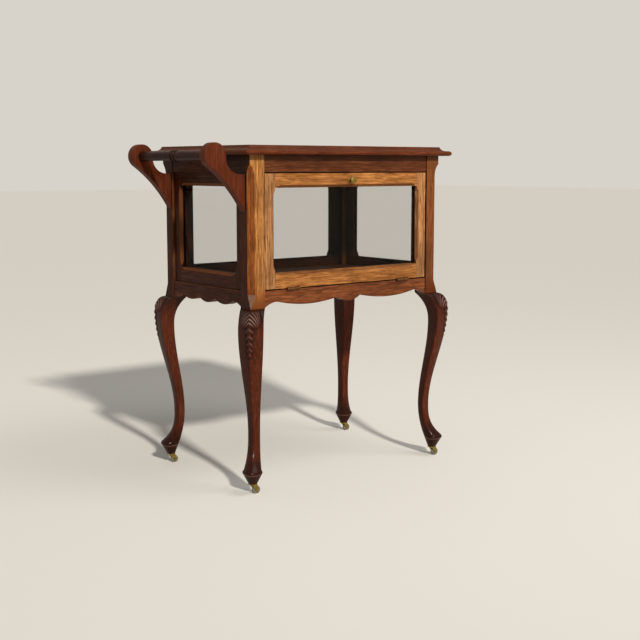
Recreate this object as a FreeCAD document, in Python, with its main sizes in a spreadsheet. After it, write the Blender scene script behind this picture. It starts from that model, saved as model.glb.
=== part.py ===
import FreeCAD
import Part
import Sketcher
import math
import os

# A glazed oak serving case on four cabriole legs. The front is a drop door hung at its lower edge,
# the left end carries a turned push handle between two swan-neck brackets, and every leg stands on a
# swivel caster. Millimetres; X runs along the front, Y to the back, Z up from the floor.

SIZES = {
    # The case: four posts, with friezes above and aprons below the glazed frames.
    "case_length": 585.0,
    "case_depth": 372.0,
    "case_height": 308.0,
    "post_size": 40.0,
    "apron_top": 470.0,
    "frieze_height": 39.0,
    "rail_thickness": 22.0,
    "face_setback": 2.0,
    "frame_setback": 6.0,
    # Stopped chamfer on the outer corner of each post.
    "chamfer_leg": 12.5,
    "chamfer_foot_length": 33.0,
    "chamfer_scoop_length": 28.0,
    "chamfer_top_margin": 20.0,
    # The top board with its cove, the flat below it and the half-round nose.
    "top_thickness": 22.0,
    "top_overhang": 24.0,
    "nose_radius": 6.0,
    "flat_width": 6.0,
    "cove_width": 10.0,
    "cove_radius": 13.0,
    # The glazed frames.
    "frame_thickness": 20.0,
    "stile_width": 29.0,
    "top_rail_width": 33.0,
    "bottom_rail_width": 37.0,
    "mould_leg": 6.5,
    "mould_margin": 18.0,
    "mould_scoop_radius": 20.0,
    "rebate_width": 7.0,
    "glass_lip": 9.0,
    "glass_thickness": 4.0,
    "glass_play": 1.0,
    "tenon_length": 18.0,
    "tenon_thickness": 7.0,
    "tenon_margin": 9.0,
    "tenon_play": 0.1,
    "door_gap": 2.5,
    # The floor of the case and the bearers that carry it.
    "floor_thickness": 12.0,
    "floor_play": 1.0,
    "bearer_size": 16.0,
    # The shaped lower edge of the aprons.
    "apron_end_height": 40.0,
    "apron_crest_height": 27.0,
    "apron_swell_height": 38.0,
    "apron_cusp_height": 28.0,
    "apron_bracket_length": 37.5,
    "apron_lobe_width": 69.0,
    "apron_lobe_height": 39.5,
    # The cabriole legs, measured along the diagonal from the middle of the post.
    "knee_drop": 42.0,
    "knee_reach": 57.0,
    "knee_width": 59.0,
    "knee_back_drop": 75.0,
    "knee_back": 7.0,
    "ankle_height": 140.0,
    "ankle_reach": 10.6,
    "ankle_width": 28.4,
    "ankle_back": 16.5,
    "toe_height": 52.0,
    "toe_reach": 47.0,
    "toe_back": 1.5,
    "toe_width": 47.5,
    "pad_offset": 21.0,
    "pad_width": 20.0,
    "leg_arris_width": 5.0,
    # The push handle.
    "bracket_thickness": 21.0,
    "bracket_inset": 17.0,
    "bracket_top_drop": 43.0,
    "bracket_seat_height": 85.0,
    "bracket_shoulder": 14.0,
    "head_reach": 79.0,
    "head_rise": 41.0,
    "head_radius": 28.5,
    "bracket_sweep_radius": 320.0,
    "bar_radius": 10.5,
    "bar_ring_radius": 13.5,
    "bar_ring_length": 10.0,
    "bar_spigot_radius": 7.0,
    "bar_spigot_length": 12.0,
    # The butt hinges below the door.
    "hinge_spread": 342.0,
    "hinge_knuckle_length": 13.0,
    "hinge_knuckle_radius": 3.2,
    "hinge_pin_radius": 1.5,
    "hinge_leaf_depth": 14.0,
    "hinge_leaf_thickness": 1.5,
    "hinge_stand_off": 0.3,
    "running_play": 0.05,
    "end_play": 0.2,
    # The turn catch on the door's top rail.
    "knob_radius": 8.5,
    "knob_projection": 18.0,
    "knob_head_height": 7.0,
    "knob_neck_radius": 3.5,
    "knob_collar_radius": 6.5,
    "knob_collar_height": 3.0,
    "spindle_radius": 2.5,
    "tongue_reach": 25.0,
    "tongue_width": 10.0,
    "tongue_thickness": 2.5,
    "tongue_play": 0.6,
    # The casters.
    "caster_height": 24.0,
    "plate_size": 16.0,
    "plate_thickness": 2.3,
    "swivel_play": 0.3,
    "crown_thickness": 2.4,
    "pivot_radius": 3.0,
    "pivot_rise": 6.0,
    "caster_trail": 9.0,
    "wheel_radius": 9.0,
    "wheel_width": 9.0,
    "wheel_side_play": 0.4,
    "cheek_thickness": 1.8,
    "axle_radius": 1.5,
    "axle_boss_radius": 4.0,
}

KNUCKLES = 3
# How the leg's curves bend, and in how many steps they are drawn.
TOE_POWER = 3
HEEL_POWER = 2
KNEE_BACK_POWER = 2.5
KNEE_STEPS = 4
SHIN_STEPS = 6
INSTEP_STEPS = 4
# Where the swan neck's head parts from its lower sweep and where its two arcs join, in degrees.
HEAD_LEAVE_TURN = 233
HEAD_TOP_TURN = 110
UP = FreeCAD.Vector(0, 0, 1)

doc = FreeCAD.newDocument("serving_case")
sheet = doc.addObject("Spreadsheet::Sheet", "Sizes")
nodes = []


class Length:
    """A size in millimetres together with the sheet expression that gives it."""

    def __init__(self, value, text):
        self.value = value
        self.text = text

    def __add__(self, other):
        other = length(other)
        return Length(self.value + other.value, "(%s + %s)" % (self.text, other.text))

    def __sub__(self, other):
        other = length(other)
        return Length(self.value - other.value, "(%s - %s)" % (self.text, other.text))

    def __mul__(self, other):
        other = length(other)
        return Length(self.value * other.value, "(%s * %s)" % (self.text, other.text))

    def __truediv__(self, other):
        other = length(other)
        return Length(self.value / other.value, "(%s / %s)" % (self.text, other.text))

    def __neg__(self):
        return Length(-self.value, "(0 - %s)" % self.text)


def length(item):
    """Give a plain number the same form as a size from the sheet."""
    if isinstance(item, Length):
        return item
    return Length(float(item), "(%r)" % float(item))


def fill_sheet():
    """Write the driving sizes to the sheet and hand back each as a Length."""
    sizes = {}
    for row, (name, value) in enumerate(SIZES.items(), start=1):
        sheet.set("A%d" % row, name)
        sheet.set("B%d" % row, str(value))
        sheet.setAlias("B%d" % row, name)
        sizes[name] = Length(value, "Sizes.%s" % name)
    doc.recompute()
    return sizes


S = fill_sheet()

# Places that several pieces share. The origin lies under the middle of the whole outline, so the
# middle of the case stands off from it by half of what the handle reaches past the overhang.
CASE_X = (S["head_reach"] + S["head_radius"] - S["top_overhang"]) / 2
HALF_LENGTH = S["case_length"] / 2
HALF_DEPTH = S["case_depth"] / 2
FRONT_SPAN = S["case_length"] - S["post_size"] * 2
END_SPAN = S["case_depth"] - S["post_size"] * 2
TOP_UNDERSIDE = S["apron_top"] + S["case_height"]
FRIEZE_BOTTOM = TOP_UNDERSIDE - S["frieze_height"]
FRAME_HEIGHT = S["case_height"] - S["frieze_height"]
DOOR_WIDTH = FRONT_SPAN - S["door_gap"] * 2
DOOR_HEIGHT = FRAME_HEIGHT - S["door_gap"] * 2
DOOR_BOTTOM = S["apron_top"] + S["door_gap"]
DOOR_FRONT = S["face_setback"] - HALF_DEPTH
KNEE_TOP = S["apron_top"] - S["apron_end_height"]
KNEE_Z = KNEE_TOP - S["knee_drop"]
KNEE_BACK_Z = KNEE_TOP - S["knee_back_drop"]
PIVOT_Y = DOOR_FRONT - S["hinge_knuckle_radius"] - S["hinge_stand_off"]
PIVOT_Z = S["apron_top"] + S["door_gap"] / 2
KNOB_Z = DOOR_BOTTOM + DOOR_HEIGHT - S["top_rail_width"] / 2
HEAD_Z = TOP_UNDERSIDE - S["bracket_top_drop"] + S["head_rise"]

# Each side of the case: its turn about Z, the distance of its face from the middle, and its span.
SIDES = {
    "front": (0, HALF_DEPTH, FRONT_SPAN),
    "right": (90, HALF_LENGTH, END_SPAN),
    "back": (180, HALF_DEPTH, FRONT_SPAN),
    "left": (270, HALF_LENGTH, END_SPAN),
}
# The neighbours of each glazed frame's two stiles, left and right as seen from outside.
STILES = {
    "door": ("left", "right"),
    "right": ("front", "back"),
    "back": ("right", "left"),
    "left": ("back", "front"),
}
CORNERS = {
    "front_left": (-1, -1),
    "front_right": (1, -1),
    "back_left": (-1, 1),
    "back_right": (1, 1),
}


def keep(item, label):
    """Make an object a sub-part of its own under a plain name."""
    item.Label = label
    nodes.append(item)
    return item


def bind(item, **properties):
    """Tie properties of an object to the sheet."""
    for name, value in properties.items():
        item.setExpression(name, length(value).text)


def place(item, x=0, y=0, z=0, rotation=None):
    """Set an object's place, tied to the sheet, and its fixed turn."""
    item.Placement = FreeCAD.Placement(FreeCAD.Vector(), rotation or FreeCAD.Rotation())
    for axis, value in (("x", x), ("y", y), ("z", z)):
        item.setExpression("Placement.Base." + axis, length(value).text)
    return item


def seat(item, x=0, y=0, z=0, rotation=None):
    """Place a finished piece from the middle of the case on the floor."""
    return place(item, CASE_X + x, y, z, rotation)


def outward_of(turn, distance):
    """The place at a distance from the middle of the case, towards a side's quarter turn from the front."""
    angle = math.radians(turn)
    return distance * round(math.sin(angle)), -distance * round(math.cos(angle))


def seat_on_side(item, side, setback, z):
    """Turn a piece made for the front to one side of the case, its face set back behind the posts' faces."""
    turn, reach = SIDES[side][:2]
    x, y = outward_of(turn, reach - setback)
    return seat(item, x, y, z, FreeCAD.Rotation(UP, turn))


def slab(x_ends, y_ends, z_ends):
    """A block between two places on each axis, given in either order."""
    box = doc.addObject("Part::Box", "block")
    lows = []
    for name, ends in (("Length", x_ends), ("Width", y_ends), ("Height", z_ends)):
        low, high = sorted((length(end) for end in ends), key=lambda end: end.value)
        lows.append(low)
        bind(box, **{name: high - low})
    return place(box, *lows)


def rod(radius, height, x=0, y=0, z=0, rotation=None):
    """A round bar that rises from a point along Z, or along the turned Z."""
    cylinder = doc.addObject("Part::Cylinder", "rod")
    bind(cylinder, Radius=radius, Height=height)
    return place(cylinder, x, y, z, rotation)


def joined(pieces):
    fused = doc.addObject("Part::MultiFuse", "joined")
    fused.Shapes = pieces
    return fused


def carved(base, tools):
    """Take the tools' space out of a piece."""
    cut = doc.addObject("Part::Cut", "carved")
    cut.Base = base
    cut.Tool = tools[0] if len(tools) == 1 else joined(tools)
    return cut


def group(pieces):
    """Like pieces that share one name and stay separate solids."""
    compound = doc.addObject("Part::Compound", "group")
    compound.Links = pieces
    return compound


def midpoint(start, end, radius):
    """The middle of an arc from start to end; a positive radius turns left on the way."""
    chord = end - start
    half = chord.Length / 2
    sagitta = abs(radius) - math.sqrt(max(radius * radius - half * half, 0.0))
    right = FreeCAD.Vector(chord.y, -chord.x, 0).normalize()
    return (start + end) * 0.5 + right * math.copysign(sagitta, radius)


def outline(sketch, corners):
    """Close an outline through (u, w, bend) corners; bend is the radius of the run that follows.

    A bend of None is a straight run. Corners and radii are all tied to the sheet.
    """
    corners = [(length(u), length(w), bend and length(bend)) for u, w, bend in corners]
    points = [FreeCAD.Vector(u.value, w.value, 0) for u, w, bend in corners]
    ends = []
    for index, (u, w, bend) in enumerate(corners):
        start = points[index]
        finish = points[(index + 1) % len(points)]
        if bend is None:
            run = Part.LineSegment(start, finish)
        else:
            run = Part.Arc(start, midpoint(start, finish, bend.value), finish)
        line = sketch.addGeometry(run, False)
        ahead = (sketch.getPoint(line, 1) - start).Length < (sketch.getPoint(line, 2) - start).Length
        ends.append((line, 1, 2) if ahead else (line, 2, 1))
    for index, (u, w, bend) in enumerate(corners):
        line, first, last = ends[index]
        following = ends[(index + 1) % len(ends)]
        sketch.addConstraint(Sketcher.Constraint("Coincident", line, last, following[0], following[1]))
        for kind, axis, value in (("DistanceX", -2, u), ("DistanceY", -1, w)):
            if value.value == 0:
                sketch.addConstraint(Sketcher.Constraint("PointOnObject", line, first, axis))
            else:
                tie = sketch.addConstraint(Sketcher.Constraint(kind, -1, 1, line, first, value.value))
                sketch.setExpression("Constraints[%d]" % tie, value.text)
        if bend is not None:
            radius = abs(bend.value)
            tie = sketch.addConstraint(Sketcher.Constraint("Radius", line, radius))
            sketch.setExpression("Constraints[%d]" % tie, "abs(%s)" % bend.text)


def drawn(name, corners, role="XZ_Plane"):
    """A body with one closed sketch on its own upright plane."""
    body = doc.addObject("PartDesign::Body", name)
    sketch = body.newObject("Sketcher::SketchObject", name + "_outline")
    plane = [feature for feature in body.Origin.OriginFeatures if feature.Role == role][0]
    sketch.AttachmentSupport = [(plane, "")]
    sketch.MapMode = "FlatFace"
    outline(sketch, corners)
    doc.recompute()
    return body, sketch


def sawn(name, corners, thickness, role="XZ_Plane", both_ways=False):
    """A board sawn to an outline, its thickness going back from the face or to both sides of it."""
    body, sketch = drawn(name, corners, role)
    pad = body.newObject("PartDesign::Pad", name + "_pad")
    pad.Profile = sketch
    pad.Reversed = not both_ways
    pad.Midplane = both_ways
    bind(pad, Length=thickness)
    body.Tip = pad
    return body


def turned(name, corners):
    """A piece turned about Z from half of its outline."""
    body, sketch = drawn(name, corners)
    revolution = body.newObject("PartDesign::Revolution", name + "_turning")
    revolution.Profile = sketch
    revolution.ReferenceAxis = (sketch, ["V_Axis"])
    revolution.Angle = 360
    body.Tip = revolution
    return body


def arc_radius(run, rise):
    """The radius of an arc that leaves its end level and climbs a rise over a run."""
    return (run * run + rise * rise) / (rise * 2)


def moulded_edge(run):
    """A length of the top's moulding, cove over half-round, mitred to the run of the field's edge."""
    nose = S["nose_radius"]
    cove = S["cove_width"]
    straight = cove + S["flat_width"]
    width = straight + nose
    profile = [
        (0, 0, None),
        (-straight, 0, -nose),
        (-width, nose, -nose),
        (-straight, nose * 2, None),
        (-cove, nose * 2, S["cove_radius"]),
        (0, S["top_thickness"], None),
    ]
    stick = sawn("moulding", profile, run + width * 2, "YZ_Plane", True)
    waste = []
    for end, turn in ((run / 2, -45), (-run / 2, 135)):
        block = slab((0, width * 2), (0, width * 2), (0, S["top_thickness"]))
        waste.append(place(block, end, 0, 0, FreeCAD.Rotation(UP, turn)))
    return carved(stick, waste)


def make_top_board():
    """The flat field of the top with its four mitred mouldings."""
    rim = S["top_overhang"] - S["nose_radius"] - S["flat_width"] - S["cove_width"]
    field_x = HALF_LENGTH + rim
    field_y = HALF_DEPTH + rim
    pieces = [slab((-field_x, field_x), (-field_y, field_y), (0, S["top_thickness"]))]
    for turn, distance, run in ((0, field_y, field_x), (90, field_x, field_y), (180, field_y, field_x),
                                (270, field_x, field_y)):
        x, y = outward_of(turn, distance)
        pieces.append(place(moulded_edge(run * 2), x, y, 0, FreeCAD.Rotation(UP, turn)))
    board = joined(pieces)
    board.Refine = True
    keep(seat(board, 0, 0, TOP_UNDERSIDE), "top_board")


def eased_rhombus(middle, outward, depth, width):
    """A four-sided section with flats on its arrises, its diagonals along and across the outward line."""
    across = UP.cross(outward)
    ease_half = S["leg_arris_width"].value / 2
    slope = width / depth
    long_half = depth / 2
    wide_half = width / 2
    corners = []
    for along, aside, long_flat in ((1, 1, True), (1, 1, False), (-1, 1, False), (-1, 1, True),
                                    (-1, -1, True), (-1, -1, False), (1, -1, False), (1, -1, True)):
        if long_flat:
            corners.append(middle + outward * (along * long_half) + across * (aside * ease_half))
        else:
            corners.append(middle + outward * (along * ease_half / slope) + across * (aside * wide_half))
    return Part.makePolygon(corners + corners[:1])


def ease(share):
    """Rise from 0 to 1 that starts and ends level."""
    return share * share * (3 - 2 * share)


def between(start, end, share):
    return start + (end - start) * share


def leg_curve(z, at_post, at_knee, knee_z, at_ankle, at_toe, above, below):
    """One measure of a cabriole leg at a height, from its values at post, knee, ankle and toe.

    Above and below shape its run from knee to post and from ankle to toe; the run between is eased.
    """
    ankle_z = S["ankle_height"].value
    if z >= knee_z:
        return between(at_knee, at_post, above((z - knee_z) / (KNEE_TOP.value - knee_z)))
    if z >= ankle_z:
        return between(at_ankle, at_knee, ease((z - ankle_z) / (knee_z - ankle_z)))
    return between(at_ankle, at_toe, below((ankle_z - z) / (ankle_z - S["toe_height"].value)))


def round_over(share):
    """Leave level and drop away like a quarter of a circle."""
    return 1 - math.sqrt(max(1 - share * share, 0.0))


def leg_section(foot, outward, z):
    """Section of a cabriole leg at a height; its front and back arrises lie on the diagonal."""
    corner = S["post_size"].value / math.sqrt(2)
    knee_z = KNEE_Z.value
    size = {name: S[name].value for name in SIZES}
    reach = leg_curve(z, corner, size["knee_reach"], knee_z, size["ankle_reach"], size["toe_reach"],
                      round_over, lambda share: share ** TOE_POWER)
    back = leg_curve(z, -corner, size["knee_back"], KNEE_BACK_Z.value, -size["ankle_back"], -size["toe_back"],
                     lambda share: share ** KNEE_BACK_POWER, lambda share: share ** HEEL_POWER)
    width = leg_curve(z, 2 * corner, size["knee_width"], knee_z, size["ankle_width"], size["toe_width"],
                      lambda share: share, lambda share: share ** TOE_POWER)
    middle = foot + outward * ((reach + back) / 2) + UP * z
    return eased_rhombus(middle, outward, reach - back, width)


def steps_between(start, end, steps):
    """Heights in even steps from start towards end, without the last."""
    return [between(start, end, step / steps) for step in range(steps)]


def quarter_turn(steps):
    """Angles in even steps from nothing to a right angle."""
    return [math.pi / 2 * step / steps for step in range(steps + 1)]


def leg_sections(foot, outward):
    """Sections of a cabriole leg from the knee's top down to the toe."""
    knee = KNEE_Z.value
    ankle = S["ankle_height"].value
    toe = S["toe_height"].value
    shoulder = [between(knee, KNEE_TOP.value, math.cos(turn)) for turn in quarter_turn(KNEE_STEPS)[:-1]]
    shin = steps_between(knee, ankle, SHIN_STEPS)
    instep = steps_between(ankle, toe, INSTEP_STEPS)
    return [leg_section(foot, outward, z) for z in shoulder + shin + instep + [toe]]


def foot_sections(foot, outward):
    """The toe's section and the caster's seat below it, with a straight taper between them."""
    pad = S["pad_width"].value
    seat_middle = foot + outward * S["pad_offset"].value + UP * S["caster_height"].value
    return [leg_section(foot, outward, S["toe_height"].value), eased_rhombus(seat_middle, outward, pad, pad)]


def post_chamfer(arris, outward):
    """The space of the stopped chamfer on a post: a flat slope at its foot, a scoop at its head."""
    depth = S["chamfer_leg"].value / math.sqrt(2)
    head = TOP_UNDERSIDE.value - S["chamfer_top_margin"].value
    scoop = S["chamfer_scoop_length"].value
    clear = S["chamfer_leg"].value

    def at(out, z):
        return arris + outward * out + UP * z

    slope_end = at(-depth, KNEE_TOP.value + S["chamfer_foot_length"].value)
    scoop_start = at(-depth, head - scoop)
    scoop_radius = (scoop * scoop + depth * depth) / (2 * depth)
    half_turn = math.asin(scoop / scoop_radius) / 2
    scoop_middle = at(
        scoop_radius * (1 - math.cos(half_turn)) - depth,
        head - scoop + scoop_radius * math.sin(half_turn),
    )
    wire = Part.Wire([
        Part.makeLine(at(0, KNEE_TOP.value), slope_end),
        Part.makeLine(slope_end, scoop_start),
        Part.Arc(scoop_start, scoop_middle, at(0, head)).toShape(),
        Part.makeLine(at(0, head), at(clear, head)),
        Part.makeLine(at(clear, head), at(clear, KNEE_TOP.value)),
        Part.makeLine(at(clear, KNEE_TOP.value), at(0, KNEE_TOP.value)),
    ])
    across = UP.cross(outward) * (2 * clear)
    face = Part.Face(wire)
    face.translate(-across * 0.5)
    return face.extrude(across)


def make_leg(corner):
    """Post and cabriole leg from one stick, with the caster's socket bored in the foot."""
    x_sign, y_sign = CORNERS[corner]
    half = S["post_size"].value / 2
    foot = FreeCAD.Vector(x_sign * (HALF_LENGTH.value - half), y_sign * (HALF_DEPTH.value - half), 0)
    outward = FreeCAD.Vector(x_sign, y_sign, 0).normalize()
    post = Part.makeBox(2 * half, 2 * half, TOP_UNDERSIDE.value - KNEE_TOP.value)
    post.translate(foot - FreeCAD.Vector(half, half, -KNEE_TOP.value))
    post = post.cut(post_chamfer(foot + outward * (half * math.sqrt(2)), outward))
    curved = Part.makeLoft(leg_sections(foot, outward), True, True)
    toe = Part.makeLoft(foot_sections(foot, outward), True, True)
    stick = post.fuse([curved, toe]).removeSplitter()
    caster = foot + outward * S["pad_offset"].value
    bore = S["pivot_radius"].value + S["swivel_play"].value
    depth = S["pivot_rise"].value + S["swivel_play"].value
    socket = Part.makeCylinder(bore, depth, caster + UP * S["caster_height"].value)
    leg = doc.addObject("Part::Feature", "leg_" + corner)
    leg.Shape = stick.cut(socket).Solids[0]
    leg.Placement = FreeCAD.Placement(FreeCAD.Vector(CASE_X.value, 0, 0), FreeCAD.Rotation())
    keep(leg, "leg_" + corner)


def make_frieze(side):
    """Plain rail under the top board, between two posts."""
    span = SIDES[side][2]
    rail = slab((-span / 2, span / 2), (0, S["rail_thickness"]), (0, S["frieze_height"]))
    keep(seat_on_side(group([rail]), side, S["face_setback"], FRIEZE_BOTTOM), "frieze_" + side)


def make_apron(side):
    """Lower rail with brackets at its ends, two swells and a middle lobe along its edge."""
    half = SIDES[side][2] / 2
    crest_x = half - S["apron_bracket_length"]
    cusp_x = S["apron_lobe_width"] / 2
    swell_x = (crest_x + cusp_x) / 2
    crest = -S["apron_crest_height"]
    swell = -S["apron_swell_height"]
    cusp = -S["apron_cusp_height"]
    bracket_bend = arc_radius(S["apron_bracket_length"], S["apron_end_height"] - S["apron_crest_height"])
    outer_bend = arc_radius(crest_x - swell_x, crest - swell)
    inner_bend = arc_radius(swell_x - cusp_x, cusp - swell)
    lobe_bend = arc_radius(cusp_x, S["apron_lobe_height"] - S["apron_cusp_height"])
    corners = [
        (-half, 0, None),
        (-half, -S["apron_end_height"], -bracket_bend),
        (-crest_x, crest, outer_bend),
        (-swell_x, swell, inner_bend),
        (-cusp_x, cusp, lobe_bend),
        (cusp_x, cusp, inner_bend),
        (swell_x, swell, outer_bend),
        (crest_x, crest, -bracket_bend),
        (half, -S["apron_end_height"], None),
        (half, 0, None),
    ]
    apron = sawn("shaped_rail", corners, S["rail_thickness"])
    if side == "front":
        apron = carved(apron, [hinge_recess(x, -S["hinge_leaf_thickness"]) for x in hinge_places()])
    keep(seat_on_side(apron, side, S["face_setback"], S["apron_top"]), "apron_" + side)


def hinge_places():
    return [-S["hinge_spread"] / 2, S["hinge_spread"] / 2]


def hinge_length():
    return S["hinge_knuckle_length"] * KNUCKLES


def hinge_recess(x, bottom):
    """Shallow housing for one hinge leaf, open at the front edge."""
    half = hinge_length() / 2
    ends = (bottom, S["hinge_leaf_thickness"] + bottom)
    return slab((x - half, x + half), (0, S["hinge_leaf_depth"]), ends)


def stopped_chamfer(run, x, z, rotation):
    """Space of a chamfer that ends in a scoop at both ends, along Z from its start."""
    leg = S["mould_leg"]
    radius = S["mould_scoop_radius"]
    depth = leg / math.sqrt(2)
    side = leg * math.sqrt(2)
    out = (radius - depth) / math.sqrt(2)
    reach = radius * 2
    start = S["mould_margin"]
    finish = run - S["mould_margin"]
    diamond = doc.addObject("Part::Box", "diamond")
    bind(diamond, Length=side, Width=side, Height=finish - start)
    place(diamond, 0, -leg, start, FreeCAD.Rotation(UP, 45))
    across = FreeCAD.Rotation(UP, FreeCAD.Vector(1, -1, 0))
    shift = reach / 2 / math.sqrt(2)
    scoops = [rod(radius, reach, -out - shift, shift - out, height, across) for height in (start, finish)]
    return place(joined([diamond] + scoops), x, 0, z, rotation)


def axes(x_to, y_to):
    """Rotation that carries X and Y to two given directions."""
    x_to = FreeCAD.Vector(*x_to)
    y_to = FreeCAD.Vector(*y_to)
    return FreeCAD.Rotation(x_to, y_to, x_to.cross(y_to), "ZXY")


def make_frame(prefix, width, height, put, rail_cuts):
    """A glazed frame: tenoned rails and stiles, a pane in the rebate and beads behind it.

    The piece is made upright with its face in the XZ plane, and put places each finished part.
    """
    half = width / 2
    inner = half - S["stile_width"]
    low = S["bottom_rail_width"]
    high = height - S["top_rail_width"]
    back = S["frame_thickness"]
    rebate = S["rebate_width"]
    lip = S["glass_lip"]
    tenon_back = (back + S["tenon_thickness"]) / 2
    tenon_front = (back - S["tenon_thickness"]) / 2
    play = S["tenon_play"]
    margin = S["tenon_margin"]
    tenon_heights = [(margin, low - margin), (high + margin, height - margin)]

    turns = (axes((0, 1, 0), (-1, 0, 0)), FreeCAD.Rotation())
    for name, sign, turn in zip(STILES[prefix], (-1, 1), turns):
        stile = slab((half * sign, inner * sign), (0, back), (0, height))
        hollow = (inner + rebate) * sign
        tools = [
            stopped_chamfer(high - low, inner * sign, low, turn),
            slab((inner * sign, hollow), (lip, back), (low - rebate, high + rebate)),
        ]
        for bottom, top in tenon_heights:
            mortise_end = (inner + S["tenon_length"] + play) * sign
            thickness = (tenon_front - play, tenon_back + play)
            tools.append(slab((inner * sign, mortise_end), thickness, (bottom - play, top + play)))
        keep(put(carved(stile, tools)), "%s_%s_stile" % (prefix, name))

    rails = (
        ("bottom", 0, low, low, low - rebate, inner, axes((0, 1, 0), (0, 0, -1)), tenon_heights[0]),
        ("top", height, high, high, high + rebate, -inner, axes((0, 1, 0), (0, 0, 1)), tenon_heights[1]),
    )
    for name, outer, edge, arris, hollow, start, turn, (bottom, top) in rails:
        rail = slab((-inner, inner), (0, back), (outer, edge))
        reach = inner + S["tenon_length"]
        tenons = [slab((inner * s, reach * s), (tenon_front, tenon_back), (bottom, top)) for s in (-1, 1)]
        tools = [
            stopped_chamfer(inner * 2, start, arris, turn),
            slab((-inner, inner), (lip, back), (edge, hollow)),
        ]
        tools += rail_cuts.get(name, [])
        keep(put(carved(joined([rail] + tenons), tools)), "%s_%s_rail" % (prefix, name))

    pane_x = inner + rebate - S["glass_play"]
    pane_low = low - rebate + S["glass_play"]
    pane_high = high + rebate - S["glass_play"]
    pane_back = lip + S["glass_thickness"]
    pane = slab((-pane_x, pane_x), (lip, pane_back), (pane_low, pane_high))
    keep(put(group([pane])), prefix + "_glass")

    bead_x = inner + rebate
    depth = (pane_back, back)
    beads = [
        slab((-bead_x, bead_x), depth, (low - rebate, low)),
        slab((-bead_x, bead_x), depth, (high, high + rebate)),
        slab((-bead_x, -inner), depth, (low, high)),
        slab((inner, bead_x), depth, (low, high)),
    ]
    keep(put(group(beads)), prefix + "_glazing_beads")


def make_fixed_frame(side):
    """Glazed frame of an end or the back, filling the space between posts, frieze and apron."""

    def put(piece):
        return seat_on_side(piece, side, S["frame_setback"], S["apron_top"])

    make_frame(side, SIDES[side][2], FRAME_HEIGHT, put, {})


def make_door():
    """The drop door, housed for its hinges and bored for the catch."""

    def put(piece):
        return seat(piece, 0, DOOR_FRONT, DOOR_BOTTOM)

    bore = rod(
        S["spindle_radius"] + S["running_play"],
        S["frame_thickness"],
        0, 0, KNOB_Z - DOOR_BOTTOM,
        FreeCAD.Rotation(UP, FreeCAD.Vector(0, 1, 0)),
    )
    cuts = {"bottom": [hinge_recess(x, 0) for x in hinge_places()], "top": [bore]}
    make_frame("door", DOOR_WIDTH, DOOR_HEIGHT, put, cuts)


def make_floor():
    """Floor board notched round the posts, on bearers along the aprons."""
    inside = S["frame_setback"] + S["frame_thickness"] + S["floor_play"]
    x_edge = HALF_LENGTH - inside
    y_edge = HALF_DEPTH - inside
    x_notch = HALF_LENGTH - S["post_size"] - S["floor_play"]
    y_notch = HALF_DEPTH - S["post_size"] - S["floor_play"]
    board = slab((-x_edge, x_edge), (-y_edge, y_edge), (0, S["floor_thickness"]))
    notches = []
    for x_sign, y_sign in CORNERS.values():
        notches.append(slab(
            (x_notch * x_sign, x_edge * x_sign),
            (y_notch * y_sign, y_edge * y_sign),
            (0, S["floor_thickness"]),
        ))
    keep(seat(carved(board, notches), 0, 0, S["apron_top"]), "floor_board")

    x_face = HALF_LENGTH - S["face_setback"] - S["rail_thickness"]
    y_face = HALF_DEPTH - S["face_setback"] - S["rail_thickness"]
    bearer = S["bearer_size"]
    heights = (-bearer, 0)
    bearers = []
    for sign in (-1, 1):
        lengthwise = (-FRONT_SPAN / 2, FRONT_SPAN / 2)
        crosswise = (-END_SPAN / 2, END_SPAN / 2)
        bearers.append(slab(lengthwise, (y_face * sign, (y_face - bearer) * sign), heights))
        bearers.append(slab((x_face * sign, (x_face - bearer) * sign), crosswise, heights))
    keep(seat(group(bearers), 0, 0, S["apron_top"]), "floor_bearers")


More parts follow.
